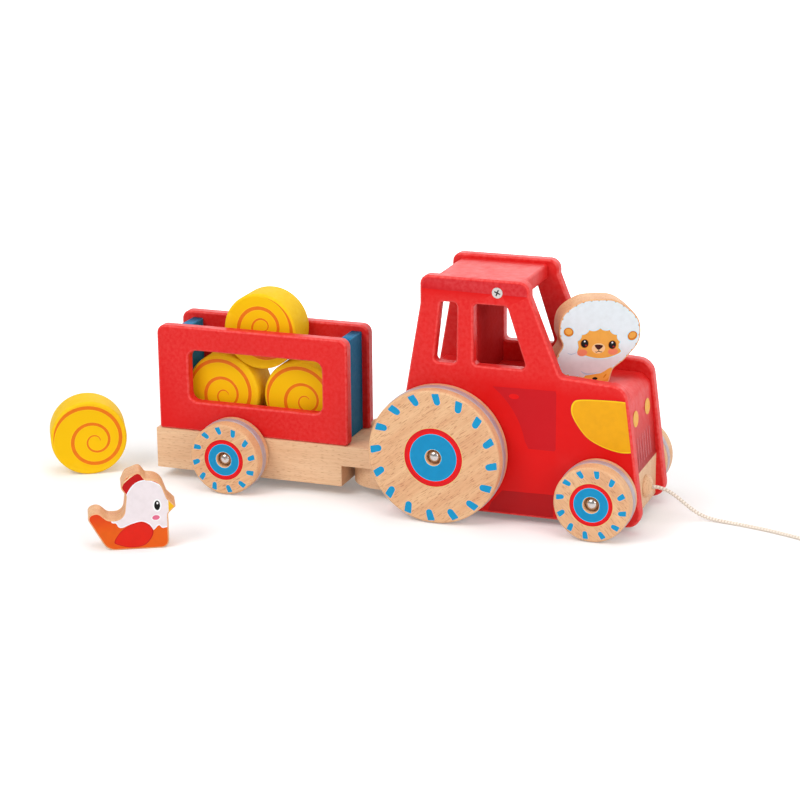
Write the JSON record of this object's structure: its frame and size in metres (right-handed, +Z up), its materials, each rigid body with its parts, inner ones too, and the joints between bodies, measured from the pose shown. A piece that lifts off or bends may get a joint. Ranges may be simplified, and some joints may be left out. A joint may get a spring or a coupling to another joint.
{
  "type": "toy tractor",
  "caption": "Wooden pull-along tractor with pegged trailer, free-turning wheels with rubber rings, removable round bales, sheep and hen blocks, and a pull cord.",
  "frame": {"origin": "bottom centre of the whole object's box, cord left out, on the floor under the trailer's front; the tractor's rear axle crosses x = 80 mm, y = 58 mm", "axes": "+X the way the tractor drives, +Y to its left, +Z up"},
  "size_m": [0.5659, 0.2333, 0.1602],
  "materials": {
    "beech_board": "satin lacquer",
    "beech_turned": "satin lacquer",
    "red_paint": "painted wood, satin",
    "blue_paint": "painted wood, satin",
    "yellow_paint": "painted wood with printed spirals",
    "steel_rod": "plain",
    "bright_steel": "polished",
    "cotton_cord": "braided cotton",
    "sheep_print": "printed front on beech",
    "hen_print": "printed front on beech",
    "wheel_wood": "flecked beech with printed marks",
    "clear_rubber": "translucent"
  },
  "bodies": {
    "tractor": {"chassis_board": "beech_board", "body_block": "red_paint", "side_panel_right": "red_paint", "side_panel_left": "red_paint", "roof_board": "red_paint", "cab_bulkhead": "red_paint", "roof_screws": "bright_steel", "panel_dowels": "beech_turned", "hitch_peg": "beech_turned", "cord_button": "beech_turned", "cord_knot": "cotton_cord", "rear_axle": "steel_rod", "front_axle": "steel_rod", "rear_axle_caps": "bright_steel", "front_axle_caps": "bright_steel", "pull_cord": "cotton_cord", "cord_coil": "cotton_cord", "pull_ball": "beech_turned"},
    "trailer": {"trailer_deck": "beech_board", "trailer_panel_right": "red_paint", "trailer_panel_left": "red_paint", "trailer_front_board": "blue_paint", "trailer_rear_board": "blue_paint", "trailer_dowels": "beech_turned", "trailer_axle": "steel_rod", "trailer_axle_caps": "bright_steel"},
    "rear_wheel_right": {"rear_wheel_right": "wheel_wood", "rear_ring_right": "clear_rubber"},
    "rear_wheel_left": {"rear_wheel_left": "wheel_wood", "rear_ring_left": "clear_rubber"},
    "front_wheel_right": {"front_wheel_right": "wheel_wood", "front_ring_right": "clear_rubber"},
    "front_wheel_left": {"front_wheel_left": "wheel_wood", "front_ring_left": "clear_rubber"},
    "trailer_wheel_right": {"trailer_wheel_right": "wheel_wood", "trailer_ring_right": "clear_rubber"},
    "trailer_wheel_left": {"trailer_wheel_left": "wheel_wood", "trailer_ring_left": "clear_rubber"},
    "bale_rear": {"bale_rear": "yellow_paint"},
    "bale_front": {"bale_front": "yellow_paint"},
    "bale_top": {"bale_top": "yellow_paint"},
    "bale_loose": {"bale_loose": "yellow_paint"},
    "sheep": {"sheep": "sheep_print"},
    "hen": {"hen": "hen_print"}
  },
  "joints": [
    {"name": "rear_wheel_right_spin", "type": "hinge", "parent": "tractor", "child": "rear_wheel_right", "pos_m": [0.08, 0.058, 0.045], "axis": [0, 1, 0], "continuous": true},
    {"name": "rear_wheel_left_spin", "type": "hinge", "parent": "tractor", "child": "rear_wheel_left", "pos_m": [0.08, 0.058, 0.045], "axis": [0, 1, 0], "continuous": true},
    {"name": "front_wheel_right_spin", "type": "hinge", "parent": "tractor", "child": "front_wheel_right", "pos_m": [0.1856, 0.058, 0.0252], "axis": [0, 1, 0], "continuous": true},
    {"name": "front_wheel_left_spin", "type": "hinge", "parent": "tractor", "child": "front_wheel_left", "pos_m": [0.1856, 0.058, 0.0252], "axis": [0, 1, 0], "continuous": true},
    {"name": "trailer_wheel_right_spin", "type": "hinge", "parent": "trailer", "child": "trailer_wheel_right", "pos_m": [-0.0716, 0.058, 0.0248], "axis": [0, 1, 0], "continuous": true},
    {"name": "trailer_wheel_left_spin", "type": "hinge", "parent": "trailer", "child": "trailer_wheel_left", "pos_m": [-0.0716, 0.058, 0.0248], "axis": [0, 1, 0], "continuous": true},
    {"name": "trailer_yaw", "type": "hinge", "parent": "tractor", "child": "trailer", "pos_m": [0.022, 0.058, 0.0355], "axis": [0, 0, 1], "range_deg": [-30, 30]},
    {"name": "bale_top_lift", "type": "slide", "parent": "trailer", "child": "bale_top", "axis": [0, 0, 1], "range_m": [0, 0.12]},
    {"name": "bale_rear_lift", "type": "slide", "parent": "trailer", "child": "bale_rear", "axis": [0, 0, 1], "range_m": [0, 0.06]},
    {"name": "bale_front_lift", "type": "slide", "parent": "trailer", "child": "bale_front", "axis": [0, 0, 1], "range_m": [0, 0.06]},
    {"name": "sheep_lift", "type": "slide", "parent": "tractor", "child": "sheep", "axis": [0, 0, 1], "range_m": [0, 0.07]},
    {"name": "bale_loose_lift", "type": "slide", "parent": "tractor", "child": "bale_loose", "axis": [0, 0, 1], "range_m": [0, 0.06]},
    {"name": "hen_lift", "type": "slide", "parent": "tractor", "child": "hen", "axis": [0, 0, 1], "range_m": [0, 0.06]}
  ],
  "couplings": [
    {"joint": "bale_rear_lift", "follows": "bale_top_lift", "ratio": 0.5},
    {"joint": "bale_front_lift", "follows": "bale_top_lift", "ratio": 0.5}
  ]
}
